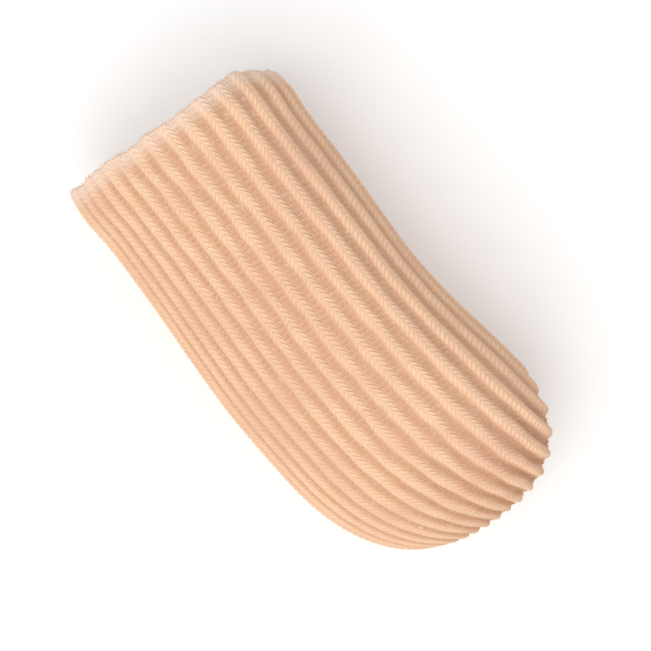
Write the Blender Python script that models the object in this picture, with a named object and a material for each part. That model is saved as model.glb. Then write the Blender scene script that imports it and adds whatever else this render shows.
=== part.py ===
# Gel toe cap: a ribbed knit cap, closed round the tip by a curved seam, over a moulded gel lining.
# Metres, +Z up. The mouth faces +Y and the tip faces -Y. The cap lies on its underside, which is
# pressed flat along the middle, and its outer box is centred on X = 0 and Y = 0 with its base at Z = 0.

import bmesh
import bpy
import numpy as np

# Knit cap, measured half way between rib ridge and rib valley
CAP_LENGTH = 0.0614
MOUTH_WIDTH = 0.0284
MOUTH_HEIGHT = 0.0250
BODY_WIDTH = 0.0304
BODY_HEIGHT = 0.0262
WAIST_END = 0.008  # from the rim: the tube starts to widen here
BODY_START = 0.035  # from the rim: the tube has its full width here
DOME_LENGTH = 0.0190  # the rounded tip
PRESSED_DEPTH = 0.0010  # how far the underside is flattened where it lies
BACK_SKEW = 0.25  # the back is this share higher towards +X, and lower towards -X

# How round the forms are: 2 is an ellipse, more is squarer
SECTION_POWER = 2.2
OUTLINE_POWER = 2.5  # of the tip, seen from above
TIP_POWER = 2.3

# The tip bends to +X
BEND_START = 0.028
TIP_BEND = 0.0030
BEND_POWER = 1.9

# The +X side is pressed in, most at this distance from the rim
SQUEEZE_DEPTH = 0.0016
SQUEEZE_AT = 0.032
SQUEEZE_SPREAD = 0.014

# The closing seam lies across the tip on its +X side, so the -X ribs go round the tip to reach it
SEAM_FROM = -0.52  # sideways shares of the half width
SEAM_TO = 0.95
RIB_TURNING = 2.5  # 1 starts to lead the ribs over at once, more starts later

# Rim of the mouth: a little longer on the -X side, and lower at the edge of the +X side
RIM_SLANT = 0.0014
RIM_DIP = 0.0022
RIM_DIP_FROM = 0.65  # share of the half width where the dip starts
RIM_FADE = 0.014  # the unevenness of the rim has gone this far from it
RIM_SWELL = 0.00025
RIM_SWELL_AT = 0.0035
RIM_SWELL_SPREAD = 0.0025
RIM_ROUNDING = 0.0003

# Knit ribs and walls
RIB_COUNT = 34  # twice an odd number puts a ridge along the middle of the back
RIB_DEPTH = 0.00070
RIB_CROWDING = 0.3  # ribs lie this share closer together at -X, and as much further apart at +X
SEAM_RIB_SHARE = 0.5  # of the rib depth is left where a rib runs into the seam
SEAM_CREASE = 0.00045
SEAM_CREASE_ANGLE = 7.0  # degrees of the tip's curve over which the crease opens
SEAM_CREASE_END = 8  # a power: more keeps the crease deep closer to the seam's two ends
KNIT_WALL = 0.0005  # in a rib valley

# Gel lining
LINING_GAP = 0.0003
GEL_WALL = 0.0020
GEL_TIP_WALL = 0.0030
GEL_RECESS = 0.0006  # from the knit's rim back to the gel's rim

# Fineness of the surfaces
POINTS_PER_RIB = 6
LINING_POINTS_PER_RIB = 2
KNIT_STATIONS = (0.08, 0.20, 0.35, 0.5, 0.66, 0.83, 1.0)  # shares of the tube from rim to dome
KNIT_ANGLES = (8, 19, 31, 43, 55, 66, 76, 84, 90)  # degrees round the tip
LINING_STATIONS = (0.25, 0.5, 0.75, 1.0)
LINING_ANGLES = (10, 26, 43, 60, 76, 90)
SECTION_STEPS = 2000
TINY = 0.000001  # points this close are one

DOME_START = CAP_LENGTH - DOME_LENGTH
CENTRE_HEIGHT = BODY_HEIGHT / 2 - PRESSED_DEPTH
KNIT_INSET = RIB_DEPTH / 2 + KNIT_WALL
GEL_OUTER_INSET = KNIT_INSET + LINING_GAP
GEL_INNER_INSET = GEL_OUTER_INSET + GEL_WALL


def smooth_step(start, end, value):
    share = np.clip((value - start) / (end - start), 0, 1)
    return share * share * (3 - 2 * share)


def section_height(side, above):
    """Height of the section at this sideways share, as a share of half the height."""
    height = np.maximum(1 - np.abs(side) ** SECTION_POWER, 0) ** (1 / SECTION_POWER)
    return np.where(above, height * (1 + BACK_SKEW * side), -height)


def section_sides(count):
    """Sideways shares, -1 to 1, of points over the back's section, closer together towards -X.

    They run from the -X side over the top to the +X side and back underneath, so the points
    i and count - i lie above each other, and the seam can join them."""
    side = -np.cos(np.linspace(0, np.pi, SECTION_STEPS + 1))
    height = section_height(side, True)
    step = np.hypot(np.diff(side) * BODY_WIDTH, np.diff(height) * BODY_HEIGHT)
    points = np.concatenate(([0], np.cumsum(step * (1 - RIB_CROWDING * side[1:]))))
    over = np.interp(np.linspace(0, points[-1], count // 2 + 1), points, side)
    return np.append(over, over[-2:0:-1])


def is_above(count):
    return np.arange(count) <= count // 2


def tip_reach(side):
    """How far the tip's outline lies ahead at this sideways share, as a share of the dome."""
    return np.maximum(1 - np.abs(side) ** OUTLINE_POWER, 0) ** (1 / OUTLINE_POWER)


def rib_wave(count):
    """1 on each rib's ridge and -1 in each valley, with a valley at the -X side."""
    return -np.cos(2 * np.pi * RIB_COUNT * np.arange(count) / count)


def tube_ring(count, distance, inset, relief):
    """One ring of the tube, this far from the rim and this far inside the mid-line of the ribs."""
    side = section_sides(count)
    inset = inset - relief * rib_wave(count)
    widening = smooth_step(WAIST_END, BODY_START, distance)
    swell = RIM_SWELL * np.exp(-(((distance - RIM_SWELL_AT) / RIM_SWELL_SPREAD) ** 2))
    half_width = (MOUTH_WIDTH + (BODY_WIDTH - MOUTH_WIDTH) * widening) / 2 + swell - inset
    half_height = (MOUTH_HEIGHT + (BODY_HEIGHT - MOUTH_HEIGHT) * widening) / 2 + swell - inset
    dip = np.maximum((side - RIM_DIP_FROM) / (1 - RIM_DIP_FROM), 0) ** 2
    uneven = RIM_SLANT / 2 * side + RIM_DIP * dip
    along = distance + uneven * max(1 - distance / RIM_FADE, 0)
    return half_width * side, along, half_height * section_height(side, is_above(count))


def dome_ring(count, angle, inset, relief, tip_wall):
    """One ring of the rounded tip. At 90 degrees its upper and lower halves meet in the seam.

    Seen from above, the ribs fill a patch between the tube's end and the seam, and the two side
    ribs keep to the tip's outline. The height then follows from the place on the dome."""
    start = section_sides(count)
    forward = np.sin(np.radians(angle)) ** (2 / TIP_POWER)
    turned = forward**RIB_TURNING
    across = (1 + start) / 2
    low_side, high_side = -1 + (1 + SEAM_FROM) * turned, 1 - (1 - SEAM_TO) * turned
    side = start + (1 - across) * (low_side + 1) + across * (high_side - 1)
    seam = tip_reach(SEAM_FROM + (SEAM_TO - SEAM_FROM) * across)
    low_spare = tip_reach(low_side) - forward * tip_reach(SEAM_FROM)
    high_spare = tip_reach(high_side) - forward * tip_reach(SEAM_TO)
    ahead = forward * seam + (1 - across) * low_spare + across * high_spare
    share = np.minimum(ahead / np.maximum(tip_reach(side), TINY), 1)
    upright = (1 - share**TIP_POWER) ** (1 / TIP_POWER) * (angle < 90)
    fading = 1 - (1 - SEAM_RIB_SHARE) * forward
    crease = SEAM_CREASE * np.exp(-(((90 - angle) / SEAM_CREASE_ANGLE) ** 2))
    crease = crease * (1 - start**SEAM_CREASE_END)
    inset = inset - relief * rib_wave(count) * fading + crease
    along = DOME_START + (DOME_LENGTH - inset - tip_wall) * ahead
    rise = section_height(side, is_above(count)) * upright
    return (BODY_WIDTH / 2 - inset) * side, along, (BODY_HEIGHT / 2 - inset) * rise


def ring_points(ring, floor):
    """The ring pressed in and bent at +X and set in place, with nothing below its floor."""
    across, along, rise = ring
    pressed = SQUEEZE_DEPTH * np.exp(-(((along - SQUEEZE_AT) / SQUEEZE_SPREAD) ** 2))
    pressed = pressed * (np.maximum(across, 0) / (BODY_WIDTH / 2)) ** 2
    bend = TIP_BEND * np.maximum((along - BEND_START) / (CAP_LENGTH - BEND_START), 0) ** BEND_POWER
    return np.column_stack(
        (across - pressed + bend, -along, np.maximum(CENTRE_HEIGHT + rise, floor))
    )


def wall_rings(count, stations, angles, rim, inset, relief, tip_wall):
    """The rings of one wall, from near the rim to the seam."""
    tube = [
        tube_ring(count, rim + (DOME_START - rim) * share, inset, relief) for share in stations
    ]
    tip = [dome_ring(count, angle, inset, relief, tip_wall) for angle in angles]
    return [ring_points(ring, max(inset, 0)) for ring in tube + tip]


def rim_ring(count, distance, inset, relief):
    return ring_points(tube_ring(count, distance, inset, relief), max(inset, 0))


def shell_object(name, rings):
    """A closed shell lofted through the rings, which run from the outer seam to the rim and back
    along the inside to the inner seam. A ring may have a whole number of times fewer points."""
    starts = np.concatenate(([0], np.cumsum([len(ring) for ring in rings])))
    faces = []
    for place in range(len(rings) - 1):
        counts = len(rings[place]), len(rings[place + 1])
        fewer = min(counts)
        for i in range(fewer):
            sides = []
            for start, count in zip(starts[place : place + 2], counts):
                times = count // fewer
                sides.append([start + (times * i + j) % count for j in range(times + 1)])
            faces.append([int(corner) for corner in sides[0] + sides[1][::-1]])
    mesh = bpy.data.meshes.new(name)
    mesh.from_pydata(np.concatenate(rings).tolist(), [], faces)
    shell = bmesh.new()
    shell.from_mesh(mesh)
    bmesh.ops.remove_doubles(shell, verts=shell.verts, dist=TINY)
    bmesh.ops.recalc_face_normals(shell, faces=shell.faces)
    shell.to_mesh(mesh)
    shell.free()
    mesh.shade_smooth()
    return bpy.data.objects.new(name, mesh)


def knit_rings():
    count = RIB_COUNT * POINTS_PER_RIB
    relief = RIB_DEPTH / 2
    outer = wall_rings(count, KNIT_STATIONS, KNIT_ANGLES, 0, 0, relief, 0)
    rim = [
        rim_ring(count, 4 * RIM_ROUNDING, 0, relief),
        rim_ring(count, RIM_ROUNDING, RIM_ROUNDING / 3, relief),
        rim_ring(count, 0, RIM_ROUNDING, relief),
    ]
    count = RIB_COUNT * LINING_POINTS_PER_RIB
    rim.append(rim_ring(count, 0, KNIT_INSET - RIM_ROUNDING / 3, 0))
    rim.append(rim_ring(count, RIM_ROUNDING, KNIT_INSET, 0))
    inner = wall_rings(count, LINING_STATIONS, LINING_ANGLES, 0, KNIT_INSET, 0, 0)
    return outer[::-1] + rim + inner


def gel_rings():
    count = RIB_COUNT * LINING_POINTS_PER_RIB
    tip_wall = GEL_TIP_WALL - GEL_WALL
    rounding = GEL_WALL / 3
    walls = [
        wall_rings(count, LINING_STATIONS, LINING_ANGLES, GEL_RECESS, inset, 0, extra)
        for inset, extra in ((GEL_OUTER_INSET, 0), (GEL_INNER_INSET, tip_wall))
    ]
    rim = [
        rim_ring(count, GEL_RECESS + rounding, GEL_OUTER_INSET, 0),
        rim_ring(count, GEL_RECESS, GEL_OUTER_INSET + rounding, 0),
        rim_ring(count, GEL_RECESS, GEL_INNER_INSET - rounding, 0),
        rim_ring(count, GEL_RECESS + rounding, GEL_INNER_INSET, 0),
    ]
    return walls[0][::-1] + rim + walls[1]


def finish_material(name, colour, roughness, transmission):
    material = bpy.data.materials.new(name)
    material.use_nodes = True
    shader = material.node_tree.nodes["Principled BSDF"]
    shader.inputs["Base Color"].default_value = (*colour, 1)
    shader.inputs["Roughness"].default_value = roughness
    shader.inputs["Metallic"].default_value = 0
    shader.inputs["Transmission Weight"].default_value = transmission
    material.diffuse_color = (*colour, 1)
    return material


def main():
    for old in list(bpy.data.objects):
        bpy.data.objects.remove(old)
    cap = bpy.data.collections.new("gel toe cap")
    bpy.context.scene.collection.children.link(cap)

    knit, gel = knit_rings(), gel_rings()
    outside = np.concatenate(knit)
    middle = (outside.min(axis=0) + outside.max(axis=0)) / 2 * (1, 1, 0)
    pieces = (
        ("knit_cap", knit, finish_material("ribbed knit", (0.86, 0.55, 0.37), 0.9, 0)),
        ("gel_lining", gel, finish_material("clear gel", (0.90, 0.80, 0.70), 0.3, 0.5)),
    )
    for name, rings, material in pieces:
        piece = shell_object(name, [ring - middle for ring in rings])
        piece.data.materials.append(material)
        cap.objects.link(piece)


main()
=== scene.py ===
import math

import bmesh
import bpy
import numpy as np
from mathutils import Matrix, Vector


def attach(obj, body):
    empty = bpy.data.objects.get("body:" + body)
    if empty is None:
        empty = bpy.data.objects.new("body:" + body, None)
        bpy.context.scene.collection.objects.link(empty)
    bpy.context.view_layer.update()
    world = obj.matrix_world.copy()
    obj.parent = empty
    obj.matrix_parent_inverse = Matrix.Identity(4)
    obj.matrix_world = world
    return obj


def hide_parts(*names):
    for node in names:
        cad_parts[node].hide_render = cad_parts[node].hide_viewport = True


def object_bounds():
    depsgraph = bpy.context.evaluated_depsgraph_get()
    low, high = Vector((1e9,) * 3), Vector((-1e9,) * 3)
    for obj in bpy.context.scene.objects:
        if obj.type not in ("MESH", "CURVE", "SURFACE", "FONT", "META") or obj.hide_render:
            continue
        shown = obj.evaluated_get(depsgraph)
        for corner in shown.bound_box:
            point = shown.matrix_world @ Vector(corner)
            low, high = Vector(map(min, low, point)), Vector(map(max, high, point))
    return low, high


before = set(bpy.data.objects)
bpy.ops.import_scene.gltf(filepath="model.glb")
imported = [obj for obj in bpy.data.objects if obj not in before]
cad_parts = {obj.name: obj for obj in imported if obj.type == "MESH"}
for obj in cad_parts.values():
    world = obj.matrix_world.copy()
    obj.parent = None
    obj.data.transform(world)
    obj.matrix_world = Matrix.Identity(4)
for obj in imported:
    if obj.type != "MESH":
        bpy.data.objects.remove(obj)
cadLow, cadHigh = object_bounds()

# The cap lies on the floor with its mouth at +Y and its closed tip at -Y, in metres.
# Its outer form, half way between rib ridge and rib valley, is one surface of two
# numbers: turn, the share of the way round from the -X side over the back, and path,
# 0 at the rim, 1 where the tip starts to round and 2 at the seam.
capForm = dict(
    length=0.0614, mouthWidth=0.0284, mouthHeight=0.0250, bodyWidth=0.0304, bodyHeight=0.0262,
    waistEnd=0.008, bodyStart=0.035, domeLength=0.019, pressedDepth=0.001, backSkew=0.25,
    sectionPower=2.2, outlinePower=2.5, tipPower=2.3,  # 2 is an ellipse, more is squarer
    bendStart=0.028, tipBend=0.003, bendPower=1.9,
    squeezeDepth=0.0016, squeezeAt=0.032, squeezeSpread=0.014,  # pressed in at +X
    seamFrom=-0.52, seamTo=0.95, ribTurning=2.5, ribCrowding=0.3,
    rimSlant=0.0014, rimDip=0.0022, rimDipFrom=0.65, rimFade=0.014,
    rimSwell=0.00025, rimSwellAt=0.0035, rimSwellSpread=0.0025,
)
tiny = 1e-6  # points closer than this are one, and nothing is divided by less


def smoothStep(low, high, value):
    # 0 below low, 1 above high, and between them 3 * share^2 - 2 * share^3
    share = np.clip((value - low) / (high - low), 0, 1)
    return share * share * (3 - 2 * share)


def sumOfSines(waves, angle, distance=0.0):
    # The sum of share * sin(times * angle + perMetre * distance + phase) over the waves
    return sum(share * np.sin(times * angle + perMetre * distance + phase)
               for share, times, perMetre, phase in waves)


def sectionHeight(side, above):
    # Superellipse (1 - |side|^n)^(1/n); over the back it is raised by skew * side
    power = capForm["sectionPower"]
    height = np.maximum(1 - np.abs(side) ** power, 0) ** (1 / power)
    return np.where(above, height * (1 + capForm["backSkew"] * side), -height)


def sectionTable(steps=4001):
    # Side share against turn. Turn grows with the arc length over the back, times
    # 1 - crowding * side, so that the ribs lie closer together towards -X.
    side = -np.cos(np.linspace(0, np.pi, steps))
    height = sectionHeight(side, True)
    step = np.hypot(np.diff(side) * capForm["bodyWidth"], np.diff(height) * capForm["bodyHeight"])
    grown = np.concatenate(([0], np.cumsum(step * (1 - capForm["ribCrowding"] * side[1:]))))
    return grown / grown[-1] / 2, side


sectionTurn, sectionSide = sectionTable()


def tipReach(side):
    # Outline of the tip seen from above: (1 - |side|^m)^(1/m)
    power = capForm["outlinePower"]
    return np.maximum(1 - np.abs(side) ** power, 0) ** (1 / power)


def capPoint(turn, path, inset=0.0, tipWall=0.0):
    # Tube: superellipse section eased from mouth to body, with an uneven rim.
    # Tip: forward = sin^(2/k) of the angle. Seen from above the ribs fill a patch blended
    # between the tube's end, the seam and the outline, and the height there is
    # (1 - (ahead / outline)^k)^(1/k). Both are pressed in by a Gauss bump along the cap,
    # times the square of the side share, and bent sideways by a power of the way along.
    form = capForm
    folded = (turn + 0.5) % 1 - 0.5  # turn and -turn lie above each other
    start = np.interp(np.abs(folded), sectionTurn, sectionSide)
    distance = (form["length"] - form["domeLength"]) * np.clip(path, 0, 1)
    forward = np.sin(np.pi / 2 * np.clip(path - 1, 0, 1)) ** (2 / form["tipPower"])
    turned = forward ** form["ribTurning"]
    ribPlace = (1 + start) / 2
    lowSide, highSide = -1 + (1 + form["seamFrom"]) * turned, 1 - (1 - form["seamTo"]) * turned
    side = start + (1 - ribPlace) * (lowSide + 1) + ribPlace * (highSide - 1)
    ahead = forward * tipReach(form["seamFrom"] + (form["seamTo"] - form["seamFrom"]) * ribPlace)
    ahead = ahead + (1 - ribPlace) * (tipReach(lowSide) - forward * tipReach(form["seamFrom"]))
    ahead = ahead + ribPlace * (tipReach(highSide) - forward * tipReach(form["seamTo"]))
    share = np.minimum(ahead / np.maximum(tipReach(side), tiny), 1)
    upright = (1 - share ** form["tipPower"]) ** (1 / form["tipPower"]) * (path < 2)

    widening = smoothStep(form["waistEnd"], form["bodyStart"], distance)
    swell = form["rimSwell"] * np.exp(-((distance - form["rimSwellAt"]) / form["rimSwellSpread"]) ** 2)
    halfWidth = (form["mouthWidth"] + (form["bodyWidth"] - form["mouthWidth"]) * widening) / 2
    halfHeight = (form["mouthHeight"] + (form["bodyHeight"] - form["mouthHeight"]) * widening) / 2
    dip = np.maximum((start - form["rimDipFrom"]) / (1 - form["rimDipFrom"]), 0) ** 2
    uneven = form["rimSlant"] / 2 * start + form["rimDip"] * dip
    along = distance + uneven * np.maximum(1 - distance / form["rimFade"], 0)
    along = along + (form["domeLength"] - inset - tipWall) * ahead
    bend = np.maximum((along - form["bendStart"]) / (form["length"] - form["bendStart"]), 0)
    across = (halfWidth + swell - inset) * side
    pressed = form["squeezeDepth"] * np.exp(-((along - form["squeezeAt"]) / form["squeezeSpread"]) ** 2)
    pressed = pressed * (np.maximum(across, 0) / (form["bodyWidth"] / 2)) ** 2
    x = across - pressed + form["tipBend"] * bend ** form["bendPower"]
    z = (halfHeight + swell - inset) * sectionHeight(side, folded >= 0) * upright
    return np.stack(np.broadcast_arrays(x, -along, z), axis=-1)


# The knit is a one-by-one rib: a ridge of knit stitches, then a valley of purl stitches.
# Its ribs are a little shallower than the solid's, because the stitches add to them.
# Pairs are ranges: where legs and purl bumps start and end, in shares of a rib from the
# ridge, and where the tip's ribs grow fuller, in turn and in path past 1.
knitForm = dict(
    ribCount=34, ribDepth=0.00055, solidRibDepth=0.0007, courseHeight=0.00075, wall=0.0010, girth=0.087,
    columnsAcross=(0, 0.06, 0.12, 0.18, 0.25, 0.36),  # shares of a rib, from ridge to valley
    rowsPerCourse=5, rimRows=6, shortestRow=0.35,
    innerRowGap=0.002, innerColumnsPerRib=4, innerCourses=40,  # the hidden face, coarser
    legRise=0.00008, legSlope=4.2, legStarts=(-0.01, 0.05), legEnds=(0.20, 0.33),
    purlRise=0.00005, purlShift=0.1, purlStarts=(0.30, 0.44),
    wavering=0.0001, unevenness=0.12, crowdedPower=1.5, crowdedLeast=0.35,
    tipRibGain=0.6, tipGainRound=(0.08, 0.30), tipGainAlong=(0.25, 0.8),
    seamTuck=0.0013, seamCrease=0.00045, seamEndPower=8, creaseGrowth=4,
    floorLift=0.00028, floorRounding=0.0004,
    rimScallop=0.00014, rimScallopFade=0.0011, rimFlattening=0.55, rimFlattened=0.0019,
    rimWander=0.00013, rimWanderFade=0.0035,
)
# Waves that keep the knit from looking ruled: share, times round, radians a metre and phase
swayWaves = ((1, 3, 170, 0), (0.6, 7, -420, 1.3), (0.8, 19, 760, 4.1), (0.5, 41, -1300, 0))
rimWaves = ((1, 4, 0, 4.0), (0.8, 9, 0, 5.5), (0.7, 14, 0, 4.4))
# In the bake map the outer face lies above, and the hidden inner face in a strip below it
bakeLayout = dict(
    left=0.01, width=0.98, outerFrom=0.09, outerHeight=0.9, innerFrom=0.01, innerHeight=0.03,
)


def ribWave(turn):
    # 1 on a ridge, -1 in a valley, with valleys at the sides and a ridge along the back
    return -np.cos(2 * np.pi * knitForm["ribCount"] * turn)


def placeOffset(turnsPerRib=24, paths=301):
    # From the middle of the ribbed form's own box to the middle of the frame's box
    turns = np.linspace(0, 1, turnsPerRib * knitForm["ribCount"] + 1)
    turn, path = np.meshgrid(turns, np.linspace(0, 2, paths), indexing="ij")
    ribbed = capPoint(turn, path, -knitForm["solidRibDepth"] / 2 * ribWave(turn)).reshape(-1, 3)
    middle = (ribbed.min(axis=0) + ribbed.max(axis=0)) / 2
    centreHeight = capForm["bodyHeight"] / 2 - capForm["pressedDepth"]
    return np.array([(cadLow.x + cadHigh.x) / 2 - middle[0], (cadLow.y + cadHigh.y) / 2 - middle[1],
                     cadLow.z + centreHeight])


offset = placeOffset()
measuredPath = np.linspace(0, 2, 1201)


def arcLength(turn):
    # Length along the surface at each turn, summed over the small steps of measuredPath
    points = capPoint(turn[:, None], measuredPath[None, :])
    arc = np.zeros((len(turn), len(measuredPath)))
    arc[:, 1:] = np.cumsum(np.linalg.norm(np.diff(points, axis=1), axis=2), axis=1)
    return arc


def pathAtDistance(turn, distance):
    # The arc length read backwards. Each turn's stretch is set apart, so one call reads them all.
    arc = arcLength(turn)
    spare = 0.01  # metres between one stretch and the next
    apart = np.arange(len(turn))[:, None] * (arc.max() + spare)
    paths = np.tile(measuredPath, len(turn))
    return np.interp((distance + apart).ravel(), (arc + apart).ravel(), paths).reshape(distance.shape)


def surfaceFrame(turn, path):
    # Outward normal, as the cross product of two small steps, and the rib pitch there
    turnStep, pathStep, leastArea = 0.0005, 0.001, 1e-15
    pathAfter, pathBefore = np.minimum(path + pathStep, 2), np.maximum(path - pathStep, 0)
    around = capPoint(turn + turnStep, path) - capPoint(turn - turnStep, path)
    along = capPoint(turn, pathAfter) - capPoint(turn, pathBefore)
    normal = np.cross(along, around)
    normal = normal / np.maximum(np.linalg.norm(normal, axis=-1, keepdims=True), leastArea)
    return normal, np.linalg.norm(around, axis=-1) / (2 * turnStep * knitForm["ribCount"])


def seamOutward(turn):
    # The way out at the seam: the sum of the normals of back and underside, at length 1
    nearSeam = 1.985
    both = surfaceFrame(turn, nearSeam)[0] + surfaceFrame(-turn, nearSeam)[0]
    return both / np.linalg.norm(both, axis=-1, keepdims=True)


def setDown(points, inset):
    # Moves the points to their place. The height keeps above floorLift + inset by a soft
    # maximum: half of (a + b + the root of (a - b)^2 + r^2).
    placed = points + offset
    lowest = cadLow.z + knitForm["floorLift"] + inset
    rounding = knitForm["floorRounding"]
    apart = np.sqrt((placed[..., 2] - lowest) ** 2 + rounding ** 2)
    placed[..., 2] = (placed[..., 2] + lowest + apart - rounding / 4) / 2
    return placed


def stitchRise(turn, distance):
    # Ridge: two legs that meet in a V, as waves of (course - slope * across) in a window.
    # Valley: one purl bump to a course.
    knit = knitForm
    rib = turn * knit["ribCount"]
    across = np.abs(rib - np.floor(rib) - 0.5)
    course = distance / knit["courseHeight"]
    leg = smoothStep(*knit["legStarts"], across) * (1 - smoothStep(*knit["legEnds"], across))
    leg = leg * (0.5 + 0.5 * np.cos(2 * np.pi * (course - knit["legSlope"] * across)))
    purl = smoothStep(*knit["purlStarts"], across)
    purl = purl * (0.5 + 0.5 * np.cos(2 * np.pi * (course - knit["purlShift"])))
    return knit["legRise"] * leg + knit["purlRise"] * purl


def sway(turn, distance):
    # Ribs of a worn knit waver a little, but not at the two sides, where the halves meet
    angle = 2 * np.pi * turn
    wave = sumOfSines(swayWaves, angle, distance)
    return knitForm["wavering"] / knitForm["girth"] * wave * np.sin(angle) ** 2


def fullness(turn, distance):
    # Ribs are not all as high: a slow and a quick sine along each rib, shifted from rib to rib
    slowTurn, quickTurn = 130, 330  # radians a metre
    rib = np.floor(turn * knitForm["ribCount"])
    slow = np.sin(2.4 * rib + 0.6) * (0.6 + 0.4 * np.sin(slowTurn * distance + rib))
    return 1 + knitForm["unevenness"] * (slow + 0.7 * np.sin(4.1 * rib + quickTurn * distance))


def rimWave(turn):
    # The cut rim doesn't run straight
    return knitForm["rimWander"] * sumOfSines(rimWaves, 2 * np.pi * turn)


def gridFaces(index):
    # Quads between columns and rows. One whose side has closed up becomes a triangle or goes.
    quads = np.stack((index[:-1, :-1], index[:-1, 1:], index[1:, 1:], index[1:, :-1]), axis=-1)
    quads = quads.reshape(-1, 4)
    leftShut, rightShut = quads[:, 0] == quads[:, 1], quads[:, 2] == quads[:, 3]
    whole = quads[~leftShut & ~rightShut].tolist()
    leftTriangles = quads[leftShut & ~rightShut][:, [0, 2, 3]].tolist()
    return whole + leftTriangles + quads[rightShut & ~leftShut][:, :3].tolist()


def edgeFaces(fine, finePlace, coarse, coarsePlace, turned):
    # A finely stepped edge joined to a coarsely stepped one, a face for each coarse step,
    # whose corners are the fine points nearest to it in place (turn or path)
    cuts = np.abs(finePlace[:, None] - coarsePlace[None, :]).argmin(axis=0)
    cuts[0], cuts[-1] = 0, len(fine) - 1
    faces = []
    for step, (first, last) in enumerate(zip(cuts[:-1], cuts[1:])):
        face = fine[first:last + 1].tolist() + [int(coarse[step + 1]), int(coarse[step])]
        faces.append(face[::-1] if turned else face)
    return faces


def uvPairs(u, v):
    # Two coordinates for each point of a grid, as one list of pairs
    return np.stack(np.broadcast_arrays(u, v), axis=-1).reshape(-1, 2)


def makeMesh(name, points, faces, uvMaps, flatFrom=5):
    # Points and faces into a mesh, its UV maps by vertex, then coinciding points welded.
    # Faces with flatFrom or more corners close hidden edges and are shaded flat.
    mesh = bpy.data.meshes.new(name)
    mesh.from_pydata(points.tolist(), [], faces)
    corners = np.zeros(len(mesh.loops), dtype=np.int32)
    mesh.loops.foreach_get("vertex_index", corners)
    for uvName, uv in uvMaps.items():
        layer = mesh.uv_layers.new(name=uvName)
        layer.data.foreach_set("uv", uv[corners].astype(np.float32).ravel())
    sizes = np.array([len(face) for face in faces])
    mesh.polygons.foreach_set("use_smooth", sizes < flatFrom)
    work = bmesh.new()
    work.from_mesh(mesh)
    bmesh.ops.remove_doubles(work, verts=work.verts, dist=tiny)
    loose = [vertex for vertex in work.verts if not vertex.link_faces]
    bmesh.ops.delete(work, geom=loose, context="VERTS")
    work.to_mesh(mesh)
    work.free()
    mesh.update()
    piece = bpy.data.objects.new(name, mesh)
    bpy.context.scene.collection.objects.link(piece)
    return piece


def ribColumns(firstTurn):
    # Turns of the columns of one half, closer together on the ridges, where the stitches show
    shares = np.array(knitForm["columnsAcross"])
    oneRib = np.concatenate((0.5 - shares[:0:-1], 0.5 + shares, [1.0]))
    ribs = knitForm["ribCount"] // 2
    columns = (np.arange(ribs)[:, None] + oneRib[None, :]).ravel()
    return firstTurn + np.concatenate(([0.0], columns)) / knitForm["ribCount"]


def knitRows(turn, length):
    # Rows of the outer face. The first ones go round the rim in half a circle of the wall's
    # thickness, by the angle curl, and the rest lie at equal distances up to the seam, which
    # all rows past it share. Gives the distance, path, curl and row of each point.
    knit = knitForm
    rimRows, rimRadius = knit["rimRows"], knit["wall"] / 2
    rowStep = knit["courseHeight"] / knit["rowsPerCourse"]
    lastRow = np.floor((length - rimRadius) / rowStep - knit["shortestRow"]).astype(int)
    row = np.minimum(np.arange(lastRow.max() + 2)[None, :], lastRow[:, None] + 1)
    atSeam = row > lastRow[:, None]
    outerDistance = np.where(atSeam, length[:, None], rimRadius + row * rowStep)

    rimCurl = np.pi * (1 - np.arange(rimRows) / rimRows)[None, :] * np.ones((len(turn), 1))
    curl = np.concatenate((rimCurl, np.zeros(row.shape)), axis=1)
    distance = np.concatenate((rimRadius * (1 - np.sin(rimCurl)), outerDistance), axis=1)
    path = pathAtDistance(turn, distance)
    path[:, rimRows:][atSeam] = 2
    rimRow = np.tile(np.arange(rimRows), (len(turn), 1))
    return distance, path, curl, np.concatenate((rimRow, row + rimRows), axis=1)


def knitRelief(turn, distance, path, toSeam, pitch):
    # Height over the plain form: the rib wave, fuller on the tip towards +X and flatter at the
    # rim, and the stitches on it. It shrinks where the ribs crowd together and at the seam.
    knit = knitForm
    folded, onTip = np.abs((turn + 0.5) % 1 - 0.5), np.clip(path - 1, 0, 1)
    gain = smoothStep(*knit["tipGainRound"], folded) * smoothStep(*knit["tipGainAlong"], onTip)
    relief = knit["ribDepth"] / 2 * ribWave(turn) * fullness(turn, distance)
    relief = relief * (1 + knit["tipRibGain"] * gain)
    relief = relief * (1 - knit["rimFlattening"] * np.exp(-(distance / knit["rimFlattened"]) ** 2))
    relief = relief + stitchRise(turn, distance)
    squeezed = np.clip(pitch / np.median(pitch), knit["crowdedLeast"], 1) ** knit["crowdedPower"]
    return relief * squeezed * smoothStep(0, knit["seamTuck"], toSeam)


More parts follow.
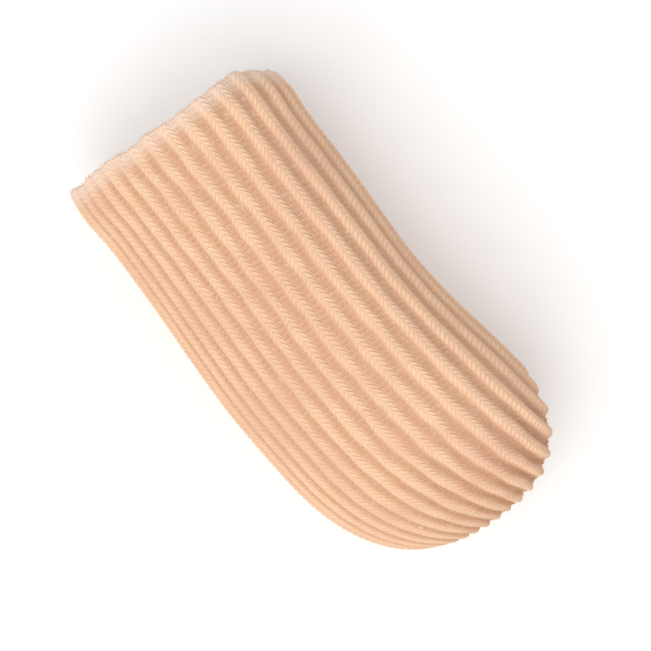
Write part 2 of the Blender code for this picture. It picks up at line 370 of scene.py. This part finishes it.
def knitOuter(firstTurn, turn, length, distance, path, curl, inset):
    # Outer face: the plain form raised along its normal by the relief, and drawn in at the
    # seam by a Gauss crease that fades at the seam's ends. The rim wanders, with a scallop
    # on each rib.
    knit = knitForm
    turnHere = turn + sway(turn, distance)
    toSeam = np.maximum(length[:, None] - distance, 0)
    normal, pitch = surfaceFrame(turnHere, path)
    relief = knitRelief(turn, distance, path, toSeam, pitch) * (0.5 + 0.5 * np.cos(curl))
    ends = 1 - (4 * (turn - firstTurn) - 1) ** knit["seamEndPower"]  # the bracket runs from -1 to 1
    onTip = np.minimum(np.clip(path - 1, 0, 1) * knit["creaseGrowth"], 1)
    tuck = np.exp(-(toSeam / knit["seamTuck"]) ** 2) * onTip
    inward = normal * (1 - tuck)[..., None] + seamOutward(turn) * tuck[..., None]
    points = setDown(capPoint(turnHere, path, inset), inset) + normal * relief[..., None]
    points = points - inward * (knit["seamCrease"] * tuck * ends)[..., None]
    scallop = knit["rimScallop"] * (0.5 + 0.5 * ribWave(turn)) * fullness(turn, distance)
    points[..., 1] += scallop * np.exp(-distance / knit["rimScallopFade"])
    points[..., 1] += rimWave(turn) * np.exp(-distance / knit["rimWanderFade"])
    points[..., 2] = np.maximum(points[..., 2], cadLow.z)
    return points


def knitHalf(name, firstTurn):
    # One half of the cap, from side to side. Its outer face with the rim and its plain inner
    # face are each a grid over turn and path, and edge faces join the two all round.
    knit, bake = knitForm, bakeLayout
    columns = ribColumns(firstTurn)
    turn = columns[:, None]
    length = arcLength(columns)[:, -1]
    distance, path, curl, row = knitRows(columns, length)
    inset = knit["wall"] / 2 * (1 - np.cos(curl))
    points = knitOuter(firstTurn, turn, length, distance, path, curl, inset)
    index = np.arange(len(columns))[:, None] * distance.shape[1] + row
    faces = gridFaces(index)

    innerTurns = firstTurn + np.linspace(0, 0.5, knit["ribCount"] // 2 * knit["innerColumnsPerRib"] + 1)
    innerPaths = np.linspace(path[0, 0], 2, int(length.max() / knit["innerRowGap"]) + 1)
    innerTurn, innerPath = innerTurns[:, None], innerPaths[None, :]
    inner = setDown(capPoint(innerTurn, innerPath, knit["wall"]), knit["wall"])
    innerIndex = points[..., 0].size + np.arange(inner[..., 0].size).reshape(inner.shape[:2])
    faces += [face[::-1] for face in gridFaces(innerIndex)]
    faces += edgeFaces(index[:, 0], columns, innerIndex[:, 0], innerTurns, False)
    faces += edgeFaces(index[:, -1], columns, innerIndex[:, -1], innerTurns, True)
    for side, turned in ((0, True), (-1, False)):
        fine, places = np.unique(index[side], return_index=True)
        faces += edgeFaces(fine, path[side][places], innerIndex[side], innerPaths, turned)

    outerAcross = bake["left"] + bake["width"] * (2 * (turn - firstTurn))
    outerUp = bake["outerFrom"] + bake["outerHeight"] * (distance - 2 * inset) / length.max()
    innerAcross = bake["left"] + bake["width"] * ((innerTurn - firstTurn) * 2)
    innerUp = bake["innerFrom"] + bake["innerHeight"] * innerPath / 2
    uvMaps = {
        "knit": np.concatenate((
            uvPairs(turn * knit["ribCount"], distance / knit["courseHeight"]),
            uvPairs(innerTurn * knit["ribCount"], innerPath * knit["innerCourses"]))),
        "OFBake": np.concatenate((uvPairs(outerAcross, outerUp), uvPairs(innerAcross, innerUp))),
    }
    return makeMesh(name, np.concatenate((points.reshape(-1, 3), inner.reshape(-1, 3))), faces, uvMaps)


knitBack = knitHalf("knit_back", 0.0)
knitUnderside = knitHalf("knit_underside", 0.5)
print("knit:", len(knitBack.data.polygons), "and", len(knitUnderside.data.polygons), "faces")


def yarnBundle(name, centres, radii, sides=6):
    # Many short yarns at once: a ring of the radius round each point of each centre line,
    # in the plane across the line, and a face over each end
    count, steps = centres.shape[:2]
    noYarnsWay = np.array([0.31, 0.17, 0.93])  # a direction that no yarn runs in
    tangent = np.gradient(centres, axis=1)
    tangent = tangent / np.linalg.norm(tangent, axis=-1, keepdims=True)
    first = np.cross(tangent, noYarnsWay)
    first = first / np.linalg.norm(first, axis=-1, keepdims=True)
    second = np.cross(tangent, first)
    angle = 2 * np.pi * np.arange(sides) / sides
    ring = first[..., None, :] * np.cos(angle)[:, None] + second[..., None, :] * np.sin(angle)[:, None]
    points = centres[..., None, :] + ring * radii[..., None, None]
    index = np.arange(count * steps * sides).reshape(count, steps, sides)
    nextSide = np.roll(index, -1, axis=2)
    quads = np.stack((index[:, :-1], nextSide[:, :-1], nextSide[:, 1:], index[:, 1:]), axis=-1)
    faces = quads.reshape(-1, 4).tolist() + index[:, 0, ::-1].tolist() + index[:, -1].tolist()
    around = np.arange(sides) / sides + np.zeros(index.shape)
    along = np.linspace(0, 1, steps)[None, :, None]
    return makeMesh(name, points.reshape(-1, 3), faces, {"yarn": uvPairs(around, along)})


# The mouth is cut, not hemmed: short ends of yarn stand out of its edge. Pairs are the
# ends of a range that each yarn's own value is drawn from.
endsForm = dict(
    perRib=8, steps=6, radius=0.00009, length=0.00036, bedded=0.0005, seed=11,
    scatter=0.3, depth=(0.15, 0.8), lean=0.7, rise=0.12, curlOut=(-0.5, 0.9), curlAside=0.6,
    bow=0.45, shortest=0.25, shortening=1.5, taper=0.45,
)


def rimYarnEnds():
    # Each end starts inside the wall and leaves it along the cap, as base + t * way + t^2 * curl
    form = endsForm
    draw = np.random.default_rng(form["seed"])
    count = knitForm["ribCount"] * form["perRib"]
    turn = (np.arange(count) + draw.uniform(-form["scatter"], form["scatter"], count)) / count
    path = pathAtDistance(turn, np.full((count, 1), form["bedded"]))
    inset = draw.uniform(*form["depth"], (count, 1)) * knitForm["wall"]
    base = setDown(capPoint(turn[:, None], path, inset), inset)
    normal = surfaceFrame(turn[:, None], path)[0]
    outOfMouth = np.array([0.0, 1.0, 0.0])
    sideways = np.cross(normal, outOfMouth)
    lean = draw.uniform(-1, 1, (count, 1, 1)) * form["lean"]
    way = outOfMouth + lean * sideways + form["rise"] * normal
    curl = draw.uniform(*form["curlOut"], (count, 1, 1)) * normal
    curl = curl + draw.uniform(-form["curlAside"], form["curlAside"], (count, 1, 1)) * sideways
    longness = draw.uniform(form["shortest"], 1.0, (count, 1, 1)) ** form["shortening"]
    step = np.linspace(0, 1, form["steps"])[None, :, None]
    reach = form["bedded"] + form["length"] * longness
    centres = base + reach * (step * way + form["bow"] * step ** 2 * curl)
    centres[..., 1] += rimWave(turn[:, None])
    centres[..., 2] = np.maximum(centres[..., 2], cadLow.z + form["radius"])
    radii = form["radius"] * (1 - form["taper"] * step[..., 0]) * np.ones((count, 1))
    return yarnBundle("rim_yarn_ends", centres, radii)


# The tip is closed by a sewn seam. Its thread crosses the crease in short slanting stitches.
threadForm = dict(
    spacing=0.0013, radius=0.00016, reach=0.0011, slant=0.35, steps=11,
    arch=0.00016, dip=0.00040, sink=0.00050, sunkFrom=0.55,
    turnRange=(0.02, 0.48), turnSteps=400, lastNormal=1.97,
)


def seamThread():
    # A stitch runs from the back to the underside across the seam, as an arch over the
    # crease: each point lies at its distance from the seam, raised by arch, less a dip of
    # 1 - share^2 over the seam, and sunk at both ends
    form = threadForm
    turns = np.linspace(*form["turnRange"], form["turnSteps"])
    seam = capPoint(turns, np.full(form["turnSteps"], 2.0))
    arc = np.concatenate(([0], np.cumsum(np.linalg.norm(np.diff(seam, axis=0), axis=1))))
    count = int(arc[-1] / form["spacing"])
    middle = np.interp((np.arange(count) + 0.5) * arc[-1] / count, arc, turns)
    stepTurn = (turns[-1] - turns[0]) / count
    share = np.linspace(-1, 1, form["steps"])[None, :]  # 1 on the back, -1 on the underside
    turn = middle[:, None] + form["slant"] * stepTurn * share
    length = arcLength(turn.ravel())[:, -1:]
    distance = length - np.abs(share * np.ones_like(turn)).reshape(-1, 1) * form["reach"]
    path = pathAtDistance(turn.ravel(), distance).reshape(turn.shape)
    signed = np.where(share >= 0, turn, -turn)
    points = setDown(capPoint(signed, path), 0.0)
    weight = np.abs(share)[..., None]
    normal = surfaceFrame(signed, np.minimum(path, form["lastNormal"]))[0] * weight
    normal = normal + seamOutward(turn) * (1 - weight)
    sunk = form["sink"] * smoothStep(form["sunkFrom"], 1.0, np.abs(share))
    rise = form["arch"] - sunk - form["dip"] * (1 - share ** 2)
    centres = points + normal * (rise * np.ones_like(turn))[..., None]
    return yarnBundle("tip_seam_thread", centres, np.full(turn.shape, form["radius"]))


rimEnds = rimYarnEnds()
seamStitches = seamThread()
print("yarn:", len(rimEnds.data.polygons), "and", len(seamStitches.data.polygons), "faces")

# The gel lining: a smooth moulded shell against the knit, thicker at the tip
gelForm = dict(
    outerInset=0.00097, wall=0.0020, tipWall=0.0030, recess=0.0004, rimRounding=0.0004,
    columns=204, rows=80, rimRows=12, ripple=0.00006, rippleEnd=1.9, rimWander=0.00012, wanderFade=0.002,
)
gelWaves = ((1, 5, 0, 0.8), (0.6, 11, 0, 0), (0.4, 23, 0, 2))


def gelLining():
    # Rows run from the outer seam to the rim, round it in half an ellipse, and back inside.
    # The inner face keeps a faint ripple from the ribs, and the rim wanders by a few sines.
    gel = gelForm
    radius = gel["wall"] / 2
    tubeLength = capForm["length"] - capForm["domeLength"]
    curl = np.linspace(0, np.pi, gel["rimRows"])
    rimPath = (gel["recess"] + gel["rimRounding"] * (1 - np.sin(curl))) / tubeLength
    wallPath = np.linspace(2, rimPath[0], gel["rows"])[:-1]
    path = np.concatenate((wallPath, rimPath, wallPath[::-1]))
    wallInset = np.concatenate((0 * wallPath, radius * (1 - np.cos(curl)), 0 * wallPath + gel["wall"]))
    inset = gel["outerInset"] + wallInset
    inside = np.clip((inset - gel["outerInset"]) / gel["wall"], 0, 1)
    extra = np.where(np.arange(len(path)) > len(path) / 2, gel["tipWall"] - gel["wall"], 0)
    turn = np.linspace(0, 1, gel["columns"] + 1)[:-1, None]
    depth = inset[None, :] - gel["ripple"] * ribWave(turn) * inside * (path < gel["rippleEnd"])
    points = setDown(capPoint(turn, path[None, :], depth, extra[None, :]), inset[None, :])
    wander = gel["rimWander"] * sumOfSines(gelWaves, 2 * np.pi * turn)
    points[..., 1] += wander * np.exp(-path[None, :] * tubeLength / gel["wanderFade"])
    index = np.arange(points[..., 0].size).reshape(gel["columns"], len(path))
    faces = gridFaces(np.concatenate((index, index[:1]), axis=0))
    uv = uvPairs(turn, np.linspace(0.01, 0.99, len(path))[None, :])
    return makeMesh("gel_lining_soft", points.reshape(-1, 3), [face[::-1] for face in faces], {"gel": uv})


gelSoft = gelLining()
print("gel:", len(gelSoft.data.polygons), "faces")


def linear(colour):
    # sRGB hex to linear light
    parts = [int(colour[start:start + 2], 16) / 255 for start in (1, 3, 5)]
    light = [part / 12.92 if part <= 0.04045 else ((part + 0.055) / 1.055) ** 2.4 for part in parts]
    return tuple(light) + (1,)


def addNode(tree, kind, settings=None, out=0, **links):
    # One node with its settings and links. A link's name is a socket, with _ for a space, or i
    # and the socket's place; its value is another node's output or a plain value.
    node = tree.nodes.new(kind)
    for key, value in (settings or {}).items():
        setattr(node, key, value)
    for key, value in links.items():
        byPlace = key[0] == "i" and key[1:].isdigit()
        socket = node.inputs[int(key[1:])] if byPlace else node.inputs[key.replace("_", " ")]
        if isinstance(value, bpy.types.NodeSocket):
            tree.links.new(value, socket)
        else:
            socket.default_value = value
    return node.outputs[out]


def newMaterial(name, **shaderValues):
    # A material with these values in its shader's sockets, _ for a space in their names
    material = bpy.data.materials.new(name)
    material.use_nodes = True
    shader = material.node_tree.nodes["Principled BSDF"]
    for key, value in shaderValues.items():
        shader.inputs[key.replace("_", " ")].default_value = value
    return material, material.node_tree, shader


# Kinds and settings that many of the nodes below share
mathNode, rangeNode, mixNode, noiseNode = (
    "ShaderNodeMath", "ShaderNodeMapRange", "ShaderNodeMix", "ShaderNodeTexNoise")
product, productPlus = {"operation": "MULTIPLY"}, {"operation": "MULTIPLY_ADD"}
cosine, smooth = {"operation": "COSINE"}, {"interpolation_type": "SMOOTHSTEP"}
ofColours = {"data_type": "RGBA"}

knitLook = dict(
    # The valley, tip valley and gap colours are painted shade: in the rib valleys, deeper in the tip's
    # valleys, and between the stitch legs. The pale colour also paints a highlight along the cut rim.
    ridge="#FDD1AB", valley="#D7A682", tipValleyShade="#C08C68", gapShade="#CF9972",
    pale="#FFE8D6", rosy="#F0B79C", fuzz="#FFD9BC", roughness=0.9, sheen=0.12,
    fibreGrain=0.00030, pillSize=0.0011, mottleSize=0.007, bumpHeight=0.00007,  # metres
    tipCourses=(61.0, 76.0), towardsSeam=(-0.011, 0.003),  # where the painted valley shade deepens on the tip: courses, and X
)


def stitchPattern(tree):
    # 1 on the legs of the knit stitches and on the purl bumps, 0 in the gaps between them, as
    # stitchRise has them but with sharper edges. Gives the place across the rib and the
    # course too.
    uv = addNode(tree, "ShaderNodeUVMap", {"uv_map": "knit"})
    rib = addNode(tree, "ShaderNodeSeparateXYZ", Vector=uv)
    course = rib.node.outputs[1]
    share = addNode(tree, mathNode, {"operation": "FRACT"}, i0=rib)
    centred = addNode(tree, mathNode, {"operation": "SUBTRACT"}, i0=share, i1=0.5)
    across = addNode(tree, mathNode, {"operation": "ABSOLUTE"}, i0=centred)

    legPlace = addNode(tree, mathNode, productPlus, i0=across, i1=-knitForm["legSlope"], i2=course)
    legTurn = addNode(tree, mathNode, product, i0=legPlace, i1=2 * math.pi)
    legWave = addNode(tree, mathNode, cosine, i0=legTurn)
    legHeight = addNode(tree, rangeNode, smooth, Value=legWave, From_Min=-0.9, From_Max=0.5)
    fromMiddle = addNode(tree, rangeNode, smooth, Value=across, From_Min=-0.01, From_Max=0.045)
    toValley = addNode(tree, rangeNode, smooth,
                       Value=across, From_Min=0.20, From_Max=0.33, To_Min=1.0, To_Max=0.0)
    window = addNode(tree, mathNode, product, i0=fromMiddle, i1=toValley)
    leg = addNode(tree, mathNode, product, i0=window, i1=legHeight)

    purlShift = -2 * math.pi * knitForm["purlShift"]
    purlTurn = addNode(tree, mathNode, productPlus, i0=course, i1=2 * math.pi, i2=purlShift)
    purlWave = addNode(tree, mathNode, cosine, i0=purlTurn)
    purlHeight = addNode(tree, rangeNode, smooth, Value=purlWave, From_Min=-0.8, From_Max=0.6)
    inValley = addNode(tree, rangeNode, smooth, Value=across, From_Min=0.30, From_Max=0.42)
    purl = addNode(tree, mathNode, product, i0=inValley, i1=purlHeight)
    stitch = addNode(tree, mathNode, {"operation": "MAXIMUM"}, i0=leg, i1=purl)
    return stitch, across, course


def knitColour(tree, place, grain, stitch, across, course):
    # From the ridge's colour to the valley's painted shade, which is darker on the tip towards the
    # seam. Over it come painted shade in the gaps, pale fibres and pills, rosy patches and a
    # painted highlight along the cut rim, in that order.
    shades = ("ridge", "valley", "tipValleyShade", "gapShade", "pale", "rosy")
    look = {shade: linear(knitLook[shade]) for shade in shades}
    tipFrom, tipTo = knitLook["tipCourses"]
    seamFrom, seamTo = knitLook["towardsSeam"]
    mottle = addNode(tree, noiseNode, Vector=place, Scale=1 / knitLook["mottleSize"], Detail=2.0)
    # Painted shade: the valley colour darkens the sides and bottom of each rib valley
    valleyShadeShare = addNode(tree, rangeNode, smooth, Value=across, From_Min=0.17, From_Max=0.42)
    # Painted shade: the valleys grow darker on the tip towards the seam, where the surface slopes away
    # from the light
    onTip = addNode(tree, rangeNode, smooth, Value=course, From_Min=tipFrom, From_Max=tipTo)
    sideways = addNode(tree, "ShaderNodeSeparateXYZ", Vector=place)
    nearSeam = addNode(tree, rangeNode, smooth, Value=sideways, From_Min=seamFrom, From_Max=seamTo)
    tipShadeShare = addNode(tree, mathNode, product, i0=onTip, i1=nearSeam)
    valley = addNode(tree, mixNode, ofColours, out=2,
                     i0=tipShadeShare, i6=look["valley"], i7=look["tipValleyShade"])
    yarn = addNode(tree, mixNode, ofColours, out=2, i0=valleyShadeShare, i6=look["ridge"], i7=valley)
    # Painted shade between the legs of the stitches and the purl bumps
    gapShadeShare = addNode(tree, rangeNode,
                       Value=stitch, From_Min=0.0, From_Max=0.65, To_Min=0.28, To_Max=0.0)
    gapShaded = addNode(tree, mixNode, ofColours, out=2, i0=gapShadeShare, i6=yarn, i7=look["gapShade"])
    paleShare = addNode(tree, rangeNode,
                        Value=grain, From_Min=0.45, From_Max=0.75, To_Min=0.0, To_Max=0.30)
    speckled = addNode(tree, mixNode, ofColours, out=2, i0=paleShare, i6=gapShaded, i7=look["pale"])
    pill = addNode(tree, noiseNode, Vector=place, Scale=1 / knitLook["pillSize"], Detail=1.0)
    pillShare = addNode(tree, rangeNode, smooth,
                        Value=pill, From_Min=0.66, From_Max=0.80, To_Min=0.0, To_Max=0.3)
    pilled = addNode(tree, mixNode, ofColours, out=2, i0=pillShare, i6=speckled, i7=look["pale"])
    rosyShare = addNode(tree, rangeNode,
                        Value=mottle, From_Min=0.42, From_Max=0.72, To_Min=0.0, To_Max=0.35)
    patched = addNode(tree, mixNode, ofColours, out=2, i0=rosyShare, i6=pilled, i7=look["rosy"])
    # Painted highlight: the first four courses at the cut rim are mixed towards the pale colour, where
    # the swollen rim catches light
    rimHighlightShare = addNode(tree, rangeNode, smooth,
                       Value=course, From_Min=0.0, From_Max=4.0, To_Min=0.62, To_Max=0.0)
    rimHighlighted = addNode(tree, mixNode, ofColours, out=2, i0=rimHighlightShare, i6=patched, i7=look["pale"])
    value = addNode(tree, rangeNode, Value=mottle, From_Min=0.3, From_Max=0.7, To_Min=1.02, To_Max=0.97)
    return addNode(tree, "ShaderNodeHueSaturation", Value=value, Color=rimHighlighted)


def knitMaterial():
    # Nylon and elastane rib knit, dyed skin beige: matte, with a faint sheen on the fuzz, painted
    # shade in the rib valleys, a painted highlight along the cut rim, rosier patches, and painted
    # shade in the gaps between the legs of each stitch.
    # The stitches are 0.75 mm tall, coarser than the real gauge, so that they show.
    material, tree, shader = newMaterial(
        "nylon_rib_knit", Roughness=knitLook["roughness"], Sheen_Weight=knitLook["sheen"],
        Sheen_Roughness=0.5, Sheen_Tint=linear(knitLook["fuzz"]))
    stitch, across, course = stitchPattern(tree)
    place = addNode(tree, "ShaderNodeTexCoord", out=3)
    grain = addNode(tree, noiseNode,
                    Vector=place, Scale=1 / knitLook["fibreGrain"], Detail=3.0, Roughness=0.6)
    colour = knitColour(tree, place, grain, stitch, across, course)
    tree.links.new(colour, shader.inputs["Base Color"])
    fibre = addNode(tree, mathNode, productPlus, i0=grain, i1=0.35, i2=stitch)
    bump = addNode(tree, "ShaderNodeBump", Height=fibre, Distance=knitLook["bumpHeight"], Strength=1.0)
    tree.links.new(bump, shader.inputs["Normal"])
    return material


yarnLook = dict(cut="#FCE2D4", sewing="#EFC7A2", roughness=0.55, twistsPerEnd=4.0)


def yarnMaterial(name, colour):
    # Cut ends and sewing thread: plied yarn, whose twist shows as slanting lighter bands
    material, tree, shader = newMaterial(
        name, Roughness=yarnLook["roughness"], Sheen_Weight=0.3, Sheen_Roughness=0.4)
    uv = addNode(tree, "ShaderNodeUVMap", {"uv_map": "yarn"})
    around = addNode(tree, "ShaderNodeSeparateXYZ", Vector=uv)
    along = around.node.outputs[1]
    slanted = addNode(tree, mathNode, productPlus, i0=along, i1=yarnLook["twistsPerEnd"], i2=around)
    turned = addNode(tree, mathNode, product, i0=slanted, i1=4 * math.pi)  # two plies
    ply = addNode(tree, mathNode, {"operation": "SINE"}, i0=turned)
    value = addNode(tree, rangeNode, Value=ply, From_Min=-1.0, From_Max=1.0, To_Min=0.86, To_Max=1.04)
    tinted = addNode(tree, "ShaderNodeHueSaturation", Value=value, Color=linear(colour))
    tree.links.new(tinted, shader.inputs["Base Color"])
    return material


gelLook = dict(
    body="#FAE8D6", warm="#F0C6A0", roughness=0.24, cloudSize=0.006, cloudHeight=0.0001,
    scatter=(0.004, 0.0025, 0.0016),
)


def gelMaterial():
    # Moulded mineral-oil gel: milky and soft-looking with a wet gloss. The beige knit behind
    # it shows through as faint lengthwise bands, and it is cloudy in patches.
    material, tree, shader = newMaterial(
        "moulded_gel", Roughness=gelLook["roughness"], IOR=1.46, Subsurface_Weight=0.55,
        Subsurface_Radius=gelLook["scatter"], Subsurface_Scale=1.0)
    uv = addNode(tree, "ShaderNodeUVMap", {"uv_map": "gel"})
    turn = addNode(tree, "ShaderNodeSeparateXYZ", Vector=uv)
    angle = addNode(tree, mathNode, product, i0=turn, i1=2 * math.pi * knitForm["ribCount"])
    wave = addNode(tree, mathNode, cosine, i0=angle)
    place = addNode(tree, "ShaderNodeTexCoord", out=3)
    cloud = addNode(tree, noiseNode, Vector=place, Scale=1 / gelLook["cloudSize"], Detail=3.0)
    mixed = addNode(tree, mathNode, productPlus, i0=wave, i1=0.14, i2=cloud)
    share = addNode(tree, rangeNode, Value=mixed, From_Min=0.3, From_Max=0.8, To_Min=0.15, To_Max=0.75)
    colour = addNode(tree, mixNode, ofColours, out=2, i0=share,
                     i6=linear(gelLook["body"]), i7=linear(gelLook["warm"]))
    tree.links.new(colour, shader.inputs["Base Color"])
    soft = addNode(tree, "ShaderNodeBump", Height=cloud, Distance=gelLook["cloudHeight"], Strength=0.6)
    tree.links.new(soft, shader.inputs["Normal"])
    return material


knitBack.data.materials.append(knitMaterial())
knitUnderside.data.materials.append(knitBack.data.materials[0])
rimEnds.data.materials.append(yarnMaterial("cut_nylon_yarn", yarnLook["cut"]))
seamStitches.data.materials.append(yarnMaterial("sewing_thread", yarnLook["sewing"]))
gelSoft.data.materials.append(gelMaterial())

for piece, slot in ((knitBack, "ribbed_knit"), (knitUnderside, "ribbed_knit"), (rimEnds, "ribbed_knit"),
                    (seamStitches, "ribbed_knit"), (gelSoft, "gel")):
    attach(piece, "root")
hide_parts("knit_cap")
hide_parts("knit_cap")
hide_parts("gel_lining")
print("materials: knit, cut yarn, sewing thread and gel")

# Camera, floor and lamps. The photograph looks straight at the back of the cap, with
# the mouth at the upper left and the tip at the lower right.
view = dict(turnDegrees=-38.0, distance=0.60, frameHeight=0.078, clipStart=0.01, clipEnd=10)


def makeCamera():
    # Looks straight down, with a lens that frames frameHeight at that distance
    camera = bpy.data.objects.new("camera", bpy.data.cameras.new("camera"))
    bpy.context.scene.collection.objects.link(camera)
    camera.data.lens = camera.data.sensor_width * view["distance"] / view["frameHeight"]
    camera.data.clip_start, camera.data.clip_end = view["clipStart"], view["clipEnd"]
    middle = (cadLow + cadHigh) / 2 + Vector((0, 0, view["distance"]))
    turned = Matrix.Rotation(math.radians(view["turnDegrees"]), 4, "Z")
    camera.matrix_world = Matrix.Translation(middle) @ turned
    bpy.context.scene.camera = camera


roomLook = dict(paper="#EDEDED", paperLift=0.22, paperWidth=3.0, room=0.56)


def backdropRays(tree):
    # 1 for what the camera sees directly, in a reflection or through clear material
    rays = addNode(tree, "ShaderNodeLightPath").node.outputs
    largest = {"operation": "MAXIMUM"}
    seen = addNode(tree, mathNode, largest, i0=rays["Is Camera Ray"], i1=rays["Is Glossy Ray"])
    return addNode(tree, mathNode, largest, i0=seen, i1=rays["Is Transmission Ray"])


def makeFloor():
    # White paper, lifted to white for the camera alone, so that it keeps the cap's shadow
    mesh = bpy.data.meshes.new("floor")
    half = roomLook["paperWidth"] / 2
    corners = [(-half, -half), (half, -half), (half, half), (-half, half)]
    mesh.from_pydata([(x, y, cadLow.z) for x, y in corners], [], [(0, 1, 2, 3)])
    floor = bpy.data.objects.new("floor", mesh)
    bpy.context.scene.collection.objects.link(floor)
    material, tree, shader = newMaterial(
        "matt_white_paper", Base_Color=linear(roomLook["paper"]), Roughness=0.95,
        Emission_Color=(1, 1, 1, 1))
    lift = addNode(tree, mathNode, product, i0=backdropRays(tree), i1=roomLook["paperLift"])
    tree.links.new(lift, shader.inputs["Emission Strength"])
    mesh.materials.append(material)


def makeRoom():
    # A white room: strength 1 where the camera sees it, and dimmer as light on the cap
    world = bpy.data.worlds.new("soft white room")
    world.use_nodes = True
    tree = world.node_tree
    dimmer = roomLook["room"]
    strength = addNode(tree, mathNode, productPlus, i0=backdropRays(tree), i1=1 - dimmer, i2=dimmer)
    tree.nodes["Background"].inputs["Color"].default_value = (1, 1, 1, 1)
    tree.links.new(strength, tree.nodes["Background"].inputs["Strength"])
    bpy.context.scene.world = world


# Square lamps, in metres and watts, turned towards the middle of the cap
lampPlan = {
    "key": dict(place=(-0.40, -0.16, 0.84), width=0.85, strength=5.75),
    "fill": dict(place=(0.6, -0.2, 0.7), width=0.6, strength=0.4),
}
lampAim = Vector((0, 0, 0.012))


def makeLamp(name, place, width, strength):
    lamp = bpy.data.objects.new(name, bpy.data.lights.new(name, "AREA"))
    lamp.data.size = width
    lamp.data.energy = strength
    lamp.location = place
    lamp.rotation_euler = (lampAim - Vector(place)).to_track_quat("-Z", "Y").to_euler()
    bpy.context.scene.collection.objects.link(lamp)


makeCamera()
makeFloor()
makeRoom()
for name, plan in lampPlan.items():
    makeLamp(name, **plan)
bpy.context.scene.view_settings.view_transform = "Standard"
print("stage: camera, floor and lamps")
